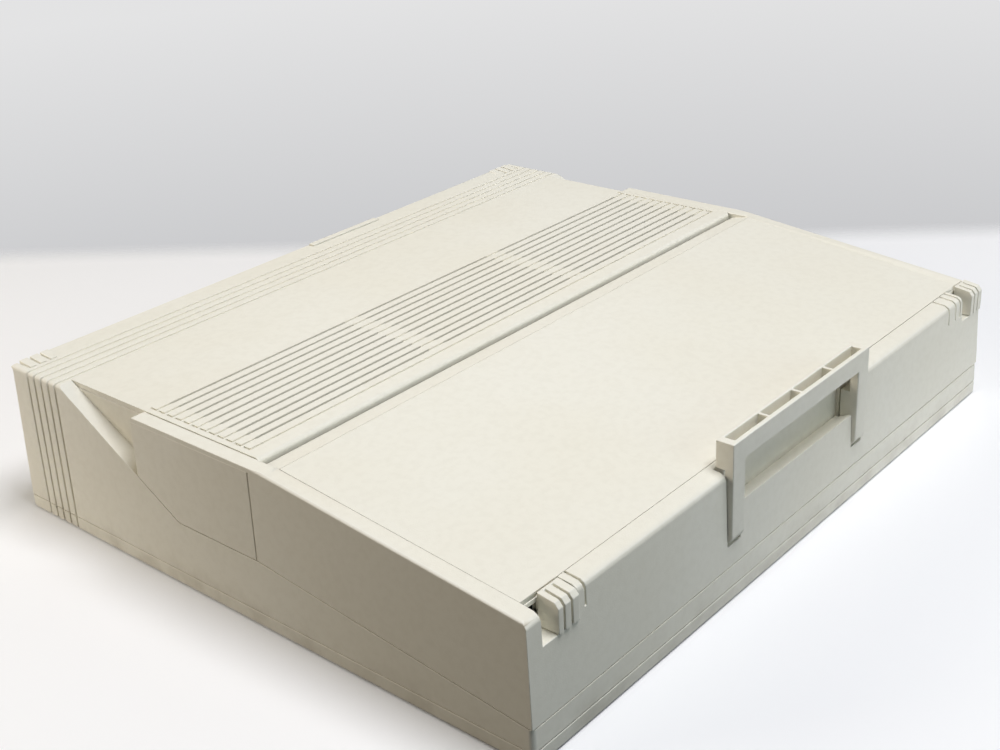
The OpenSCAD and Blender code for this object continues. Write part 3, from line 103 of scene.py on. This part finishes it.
# %% Wires and finishes
class Wire:
    """One output socket, for sums with numbers and with other wires."""

    def __init__(self, finish, socket):
        self.finish = finish
        self.socket = socket

    def __add__(self, other):
        return self.finish.sum("ADD", self, other)

    def __sub__(self, other):
        return self.finish.sum("SUBTRACT", self, other)

    def __rsub__(self, other):
        return self.finish.sum("SUBTRACT", other, self)

    def __mul__(self, other):
        return self.finish.sum("MULTIPLY", self, other)

    def __truediv__(self, other):
        return self.finish.sum("DIVIDE", self, other)

    __radd__ = __add__
    __rmul__ = __mul__


class Finish:
    """A material with one Principled shader, and helpers that add nodes to it."""

    def __init__(self, name, **constants):
        self.material = bpy.data.materials.new(name)
        self.material.use_nodes = True
        self.tree = self.material.node_tree
        self.shader = next(n for n in self.tree.nodes if n.type == "BSDF_PRINCIPLED")
        for socket, value in constants.items():
            self.shader.inputs[socket.replace("_", " ")].default_value = value
        self.place = self.node("ShaderNodeTexCoord", output="Object")

    def node(self, kind, settings=None, sockets=None, output=0):
        made = self.tree.nodes.new(kind)
        for key, value in (settings or {}).items():
            if key == "stops":
                ramp = made.color_ramp.elements
                while len(ramp) < len(value):
                    ramp.new(0.5)
                for stop, (position, colour) in zip(ramp, value):
                    stop.position = position
                    stop.color = (*colour, 1)
            else:
                setattr(made, key, value)
        for key, value in (sockets or {}).items():
            if isinstance(value, Wire):
                self.tree.links.new(value.socket, made.inputs[key])
            else:
                made.inputs[key].default_value = value
        return Wire(self, made.outputs[output])

    def sum(self, operation, *values):
        return self.node("ShaderNodeMath", {"operation": operation}, dict(enumerate(values)))

    def noise(self, scale, detail=2.0, rough=0.5, stretch=None):
        place = self.place
        if stretch:
            place = self.node("ShaderNodeMapping", None, {"Vector": place, "Scale": stretch})
        return self.node("ShaderNodeTexNoise", None,
                         {"Vector": place, "Scale": scale, "Detail": detail, "Roughness": rough})

    def along(self, axis):
        return self.node("ShaderNodeSeparateXYZ", None, {0: self.place}, axis)

    def rise(self, value, start, end):
        """0 before start, 1 after end, smooth between; start may be the larger."""
        return self.node("ShaderNodeMapRange", {"interpolation_type": "SMOOTHSTEP"},
                         {"Value": value, "From Min": start, "From Max": end})

    def blend(self, mask, first, second):
        first, second = [(*c, 1) if isinstance(c, tuple) else c for c in (first, second)]
        return self.node("ShaderNodeMix", {"data_type": "RGBA"}, {0: mask, 6: first, 7: second}, 2)

    def mark(self, name):
        return self.node("ShaderNodeAttribute", {"attribute_name": name}, None, "Fac")

    def bump(self, height, depth, strength=1.0):
        return self.node("ShaderNodeBump", None, {"Height": height, "Distance": depth, "Strength": strength})

    def end(self, **links):
        for socket, wire in links.items():
            self.tree.links.new(wire.socket, self.shader.inputs[socket.replace("_", " ")])
        return self.material


# %% [markdown]
# ## Ivory plastic
# The housing is moulded in off-white plastic with a fine spark-eroded grain, a little yellowed with age. Four
# things make it look like that and not like paint: slow drifts of tone over the hand's width, a grain of half
# a millimetre in the bump, edges that are rubbed smoother and paler, and brown blotches that darken the walls
# within two centimetres of the floor.
# The rubbed edges come from a mark that the edge rounding below leaves on the faces it makes.


# %% Make the ivory plastics
def ivory(name, fresh, aged, grain=1500.0, depth=0.00012):
    skin = Finish(name, Specular_IOR_Level=0.4)
    drift = skin.noise(9.0, 3.0)
    fine = skin.noise(260.0, 2.0)
    grain_height = skin.noise(grain, 2.0, 0.6)
    rubbed = skin.mark("rubbed")
    # Darker towards the bottom: brown blotches on the walls within two centimetres of the floor.
    low = skin.rise(skin.along(2), 0.020, 0.002) * skin.rise(skin.noise(60.0, 4.0), 0.35, 0.75)
    streak = skin.rise(skin.noise(14.0, 5.0, 0.7, (1.0, 9.0, 1.0)), 0.66, 0.74)
    colour = skin.blend(skin.rise(drift, 0.3, 0.7), fresh, aged)
    colour = skin.blend(0.10 * skin.rise(fine, 0.35, 0.75), colour, (0.56, 0.52, 0.42))
    colour = skin.blend(0.30 * low, colour, (0.38, 0.33, 0.25))
    colour = skin.blend(0.30 * rubbed, colour, (0.88, 0.86, 0.79))
    rough = 0.50 + 0.12 * (fine - 0.5) - 0.10 * rubbed - 0.05 * streak
    return skin.end(Base_Color=colour, Roughness=rough, Normal=skin.bump(grain_height, depth, 0.5))


finishes = {
    "ivory_plastic": ivory("ivory_plastic", (0.815, 0.795, 0.705), (0.80, 0.772, 0.668)),
    "ivory_plastic_dull": ivory("ivory_plastic_dull", (0.66, 0.635, 0.55), (0.645, 0.615, 0.52)),
}
print("ivory plastics:", sorted(finishes))

# %% [markdown]
# ## The other finishes
# Inside and behind are metals, boards, rubber and glass. Every one of them has some grain or a mark of its
# making: rolled steel has fine lines, castings are cloudy, and boards show tracks under the green lacquer.
# The chips are in the same node as their board, so they wear its green here.


# %% Make the metals, boards and dark plastics
def metal(name, colour, darker, rough, stretch, depth=0.00004):
    skin = Finish(name, Metallic=1.0)
    lines = skin.noise(700.0, 3.0, 0.6, stretch)
    cloud = skin.noise(35.0, 3.0)
    tone = skin.blend(skin.rise(cloud, 0.3, 0.7), colour, darker)
    tone = skin.blend(0.25 * skin.rise(lines, 0.5, 0.8), tone, darker)
    return skin.end(Base_Color=tone, Roughness=rough + 0.16 * (cloud - 0.5),
                    Normal=skin.bump(lines, depth, 0.5))


def dull(name, colour, other, rough, grain=1400.0, depth=0.0001, specular=0.4):
    skin = Finish(name, Specular_IOR_Level=specular)
    grit = skin.noise(grain, 2.0, 0.6)
    cloud = skin.noise(45.0, 4.0)
    rubbed = skin.mark("rubbed")
    tone = skin.blend(skin.rise(cloud, 0.35, 0.7), colour, other)
    tone = skin.blend(0.35 * rubbed, tone, tuple(min(1.0, 1.6 * c + 0.03) for c in other))
    return skin.end(Base_Color=tone, Roughness=rough + 0.14 * (cloud - 0.5),
                    Normal=skin.bump(grit, depth, 0.5))


finishes["plated_steel"] = metal("plated_steel", (0.66, 0.66, 0.64), (0.50, 0.49, 0.46), 0.34, (1, 12, 1))
finishes["plated_shell"] = metal("plated_shell", (0.74, 0.73, 0.70), (0.58, 0.56, 0.52), 0.28, (1, 1, 9))
finishes["pin_steel"] = metal("pin_steel", (0.60, 0.60, 0.60), (0.44, 0.44, 0.43), 0.26, (14, 1, 1))
finishes["cast_aluminium"] = metal("cast_aluminium", (0.62, 0.63, 0.64), (0.47, 0.48, 0.49), 0.45,
                                   (2, 2, 2), 0.0001)
finishes["key_ivory"] = dull("key_ivory", (0.74, 0.71, 0.61), (0.70, 0.67, 0.56), 0.52)
finishes["key_grey"] = dull("key_grey", (0.34, 0.33, 0.29), (0.31, 0.30, 0.26), 0.55)
finishes["drive_body"] = dull("drive_body", (0.055, 0.056, 0.06), (0.04, 0.041, 0.045), 0.5)
finishes["black_plastic"] = dull("black_plastic", (0.022, 0.022, 0.024), (0.03, 0.03, 0.031), 0.46)
finishes["black_rubber"] = dull("black_rubber", (0.018, 0.018, 0.018), (0.028, 0.027, 0.026), 0.78,
                                900.0, 0.0002)


def board(name):
    skin = Finish(name, Specular_IOR_Level=0.5)
    cell = skin.node("ShaderNodeTexBrick", {"offset": 0.5},
                     {"Vector": skin.place, "Scale": 220.0, "Mortar Size": 0.02, "Color1": (0, 0, 0, 1),
                      "Color2": (0.35, 0.35, 0.35, 1), "Mortar": (1, 1, 1, 1)})
    tracks = skin.node("ShaderNodeSeparateXYZ", None, {0: cell}, 0)
    cloud = skin.noise(60.0, 3.0)
    green = skin.blend(skin.rise(cloud, 0.3, 0.7), (0.016, 0.115, 0.045), (0.012, 0.085, 0.035))
    green = skin.blend(0.55 * tracks, green, (0.07, 0.25, 0.11))
    return skin.end(Base_Color=green, Roughness=0.34 + 0.1 * (cloud - 0.5),
                    Normal=skin.bump(tracks, 0.00005, 0.5))


def sheet_steel(name):
    return metal(name, (0.62, 0.62, 0.60), (0.46, 0.45, 0.42), 0.38, (10, 1, 1))


def lens(name):
    skin = Finish(name, Transmission_Weight=0.0, Coat_Weight=0.6)
    glow = skin.rise(skin.noise(90.0), 0.2, 0.8)
    tone = skin.blend(glow, (0.03, 0.22, 0.05), (0.05, 0.32, 0.08))
    return skin.end(Base_Color=tone, Roughness=0.18 + 0.08 * glow)


def glass(name):
    skin = Finish(name, Specular_IOR_Level=0.6, Coat_Weight=0.5, Coat_Roughness=0.05)
    smear = skin.rise(skin.noise(22.0, 4.0, 0.6, (1.0, 1.0, 3.0)), 0.45, 0.75)
    tone = skin.blend(smear, (0.012, 0.014, 0.012), (0.02, 0.023, 0.019))
    return skin.end(Base_Color=tone, Roughness=0.10 + 0.16 * smear)


finishes["circuit_board"] = board("circuit_board")
finishes["switch_plate"] = sheet_steel("switch_plate")
finishes["lamp_lens"] = lens("lamp_lens")
finishes["screen_glass"] = glass("screen_glass")
print("finishes:", len(finishes), "of slots:", sorted(set(slot_of.values()) - set(finishes)) or "all")

# %% [markdown]
# ## From sharp solids to moulded pieces
# No mould gives a sharp outer edge, and every hand that carries a machine rounds it further. So each solid is
# copied, its triangles are joined into whole flat faces, and its convex edges are rounded. An edge is only
# rounded where its neighbours leave room, because two rounds that run into each other fold the surface.
# The faces of a round keep a mark, which the plastic above shows as a rubbed edge.


# %% Helpers that round a copy of a solid
def whole(node):
    """A copy of a node's mesh with its flat faces joined."""
    bm = bmesh.new()
    bm.from_mesh(nodes[node].data)
    bmesh.ops.remove_doubles(bm, verts=bm.verts, dist=2e-6)
    bmesh.ops.dissolve_limit(bm, angle_limit=math.radians(0.4), verts=bm.verts, edges=bm.edges)
    bm.faces.layers.float.new("rubbed")
    bm.normal_update()
    return bm


def has_room(edge, radius):
    """True where no short edge meets this one from the side."""
    for vert in edge.verts:
        along = (edge.other_vert(vert).co - vert.co).normalized()
        for near in vert.link_edges:
            reach = near.other_vert(vert).co - vert.co
            if near is not edge and reach.length < 2.2 * radius and along.dot(reach.normalized()) > -0.8:
                return False
    return True


def round_off(bm, radius_mm, steps=2, wanted=None, least_deg=28):
    """Rounds the convex edges that are wanted, or all of them."""
    radius = radius_mm * MM
    edges = []
    for edge in bm.edges:
        if len(edge.link_faces) != 2 or edge.calc_face_angle_signed() < math.radians(least_deg):
            continue
        middle = (edge.verts[0].co + edge.verts[1].co) / (2 * MM)
        along = (edge.verts[1].co - edge.verts[0].co).normalized()
        if (wanted is None or wanted(middle, along)) and has_room(edge, radius):
            edges.append(edge)
    if edges:
        made = bmesh.ops.bevel(bm, geom=edges, offset=radius, offset_type="OFFSET", segments=steps,
                               profile=0.5, affect="EDGES", clamp_overlap=False)
        rubbed = bm.faces.layers.float["rubbed"]
        for face in made["faces"]:
            face[rubbed] = 1.0
    return len(edges)


def set_down(bm, name, body, slot, stands_for):
    """Turns a mesh into a piece that rides its body and wears its finish."""
    mesh = bpy.data.meshes.new(name)
    bm.to_mesh(mesh)
    bm.free()
    mesh.shade_smooth()
    mesh.set_sharp_from_angle(angle=math.radians(38))
    made = bpy.data.objects.new(name, mesh)
    scene.collection.objects.link(made)
    even = made.modifiers.new("even_normals", "WEIGHTED_NORMAL")
    even.keep_sharp = True
    mesh.materials.append(finishes[slot])
    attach(made, body)
    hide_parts(stands_for)


def moulded(node, radius_mm, first=(), steps=2):
    """The rounded copy of one solid; first holds (radius, steps, wanted) for its larger rounds."""
    bm = whole(node)
    counts = [round_off(bm, r, s, wanted) for r, s, wanted in first]
    counts.append(round_off(bm, radius_mm, steps))
    faces = len(bm.faces)
    set_down(bm, node + "_moulded", body_of[node], slot_of[node], node)
    print(node, "rounded edges:", counts, "faces:", faces)


# %% [markdown]
# ## The housing
# The outer mouldings come in the order in which they are seen: lid, cheeks, handle, catches, housing, tray
# and port flap. The larger rounds are asked for first, all others are barely half a millimetre. The
# louvred top cover keeps the edges of its solid, because rounding its many grooves left a dark fault. The
# lid's upright front corners stay sharper than the real ones: short edges beside them leave no room.

# %% Round the outer mouldings
SIDE = cad_box[1].x / MM


def upright_corner(middle, along):
    return abs(along.z) > 0.9 and abs(middle.x) > SIDE - 4


def long_side(middle, along):
    return abs(along.y) > 0.85 and abs(middle.x) > SIDE - 3.6 and middle.z > 60


moulded("lid_frame", 0.4, [(1.3, 3, long_side)])
moulded("lid_back_panel", 0.3)
moulded("cheek_left", 0.35)
moulded("cheek_right", 0.35)
moulded("handle", 0.5)
moulded("latch_slider_left", 0.35)
moulded("latch_slider_right", 0.35)
moulded("main_housing", 0.35, [(2.6, 4, upright_corner)])
moulded("base_tray", 0.4, [(2.6, 4, upright_corner)])
moulded("port_flap", 0.35)

# %% [markdown]
# ## Everything else
# The pieces inside are rounded a little too, where they can be seen with the lid open or from behind, and
# the ones that hide between boards keep the shape of their solids and only take a finish.

# %% Round the pieces inside and behind
for node, radius in {
    "front_panel": 0.35, "screen_bezel": 0.4, "floppy_drive": 0.3, "eject_button": 0.3,
    "rear_panel": 0.15, "mains_inlet": 0.3, "power_switch": 0.3, "port_connectors": 0.2,
    "rubber_feet": 0.2, "tilt_foot_left": 0.3, "tilt_foot_right": 0.3, "case_screws": 0.15,
    "latch_bar": 0.25, "drive_cage": 0.15, "hinge_bracket_left": 0.25, "hinge_bracket_right": 0.25,
    "brightness_dial": 0.2, "contrast_dial": 0.2, "status_lamps": 0.2, "handle_pins": 0.2,
    "keys_function": 0.5, "keys_number": 0.5, "keys_upper": 0.5, "keys_home": 0.5, "keys_lower": 0.5,
    "keys_bottom": 0.5, "space_bar": 0.5, "keys_pad": 0.5,
}.items():
    moulded(node, radius)

# %% Give every other solid its finish
for node, obj in nodes.items():
    if not obj.hide_render:
        obj.data.materials.clear()
        obj.data.materials.append(finishes[slot_of[node]])
        obj.data.shade_smooth()
        obj.data.set_sharp_from_angle(angle=math.radians(30))
print("solids shown as they are:", sum(not o.hide_render for o in nodes.values()))

# %% [markdown]
# ## The studio
# The machine stands on a white table top that ends a hand's breadth behind it, in front of a pale grey
# paper wall that is out of focus. The floor is a real surface, so it keeps the shadow, and it fades away
# along the table's rear edge. The wall is no lamp: it is a colour that only the camera sees, darker low
# down. Soft lamps stand all round, because the photograph has no hard shadow. Their powers and tints were
# solved together from tones read off the photograph, so they are not round numbers.

# %% Make the table top
WATCH_TURN = math.radians(49.4973)
WATCH = Vector((math.sin(WATCH_TURN), math.cos(WATCH_TURN), 0))
EDGE_FROM_CAMERA = 1.033
EDGE_TURN = 0.07
GLOW = 0.05
# Painted shade: the table's colour for bounced light near the camera, almost black.
PAINTED_SHADE_NEAR_CAMERA = (0.03, 0.03, 0.03)
BOUNCE = (0.80, 0.80, 0.80)
NEAR_DARK = -0.62
FAR_LIGHT = -0.32

table_skin = Finish("table_paper", Specular_IOR_Level=0.1, Emission_Color=(1, 1, 1.02, 1),
                    Emission_Strength=GLOW)
across = table_skin.along(0)
depth = table_skin.along(1)
tone = table_skin.blend(table_skin.noise(3.0), (0.865, 0.867, 0.872), (0.85, 0.853, 0.86))
table_skin.end(Base_Color=tone, Roughness=0.85 + 0.05 * table_skin.noise(40.0))


def mix_shaders(skin, mask, first, second):
    mixed = skin.tree.nodes.new("ShaderNodeMixShader")
    for socket, source in zip(mixed.inputs, (mask, first, second)):
        skin.tree.links.new(source.socket, socket)
    return Wire(skin, mixed.outputs[0])


# Painted shade: for bounced light only, the table is almost black near the camera and pale further off, which
# darkens the machine's near side.
bounce_with_painted_shade = table_skin.blend(table_skin.rise(depth, NEAR_DARK, FAR_LIGHT), PAINTED_SHADE_NEAR_CAMERA, BOUNCE)
bounce = table_skin.node("ShaderNodeBsdfDiffuse", None, {"Color": bounce_with_painted_shade})
seen = table_skin.node("ShaderNodeLightPath", output="Is Camera Ray")
clear = table_skin.node("ShaderNodeBsdfTransparent")
looks = mix_shaders(table_skin, seen, bounce, Wire(table_skin, table_skin.shader.outputs[0]))
faded = mix_shaders(table_skin, table_skin.rise(depth + EDGE_TURN * across, -0.025, 0.02), looks, clear)
output = next(n for n in table_skin.tree.nodes if n.type == "OUTPUT_MATERIAL")
table_skin.tree.links.new(faded.socket, output.inputs["Surface"])

table_mesh = bpy.data.meshes.new("table_top")
table_mesh.from_pydata([(-5, -5, 0), (5, -5, 0), (5, 1, 0), (-5, 1, 0)], [], [(0, 1, 2, 3)])
table_mesh.materials.append(table_skin.material)
table_top = bpy.data.objects.new("table_top", table_mesh)
scene.collection.objects.link(table_top)
edge = Vector(CAMERA_PLACE) + EDGE_FROM_CAMERA * WATCH
table_top.location = (edge.x, edge.y, 0)
table_top.rotation_euler = (0, 0, -WATCH_TURN)


# %% Set up the lamps and the paper wall
def lamp(name, place, aim, size, watts, colour):
    made = bpy.data.objects.new(name, bpy.data.lights.new(name, "AREA"))
    scene.collection.objects.link(made)
    made.data.shape = "RECTANGLE"
    made.data.size, made.data.size_y = size
    made.data.energy = watts
    made.data.color = colour
    made.location = place
    made.rotation_euler = (Vector(aim) - Vector(place)).to_track_quat("-Z", "Y").to_euler()
    return made


LAMPS = {
    "over_front": ((0.1, -0.5, 1.6), (0.8, 0.8), 24.0, (0.97, 0.97, 1.0)),
    "rear_left": ((-0.95, 0.85, 0.5), (0.8, 0.6), 8.4, (1.0, 0.90, 0.76)),
    "right_front": ((1.2, -0.7, 0.5), (1.0, 0.7), 1.3, (1.0, 0.9, 1.0)),
    "rear_right": ((0.9, 1.1, 0.9), (1.0, 0.8), 3.6, (1.0, 1.0, 0.9)),
    "front": ((0.1, -1.5, 0.5), (1.0, 0.7), 4.9, (0.82, 0.96, 1.0)),
}
AROUND = (0.02, 0.02, 0.02)
for name, (place, size, watts, colour) in LAMPS.items():
    lamp(name, place, MIDDLE, size, watts, colour)

world = bpy.data.worlds.new("paper_wall")
scene.world = world
world.use_nodes = True
sky = world.node_tree
light_path = sky.nodes.new("ShaderNodeLightPath")
around = sky.nodes["Background"]
around.inputs["Color"].default_value = (*AROUND, 1)
around.inputs["Strength"].default_value = 1.0
wall = sky.nodes.new("ShaderNodeBackground")
direction = sky.nodes.new("ShaderNodeTexCoord")
split = sky.nodes.new("ShaderNodeSeparateXYZ")
ramp = sky.nodes.new("ShaderNodeValToRGB")
height = sky.nodes.new("ShaderNodeMapRange")
sky.links.new(direction.outputs["Generated"], split.inputs[0])
sky.links.new(split.outputs[2], height.inputs["Value"])
height.inputs["From Min"].default_value = -0.36
height.inputs["From Max"].default_value = -0.18
sky.links.new(height.outputs[0], ramp.inputs[0])
ramp.color_ramp.elements[0].color = (0.57, 0.575, 0.59, 1)
ramp.color_ramp.elements[1].color = (0.77, 0.77, 0.775, 1)
sky.links.new(ramp.outputs[0], wall.inputs["Color"])
seen = sky.nodes.new("ShaderNodeMixShader")
sky.links.new(light_path.outputs["Is Camera Ray"], seen.inputs[0])
sky.links.new(around.outputs[0], seen.inputs[1])
sky.links.new(wall.outputs[0], seen.inputs[2])
sky.links.new(seen.outputs[0], sky.nodes["World Output"].inputs["Surface"])
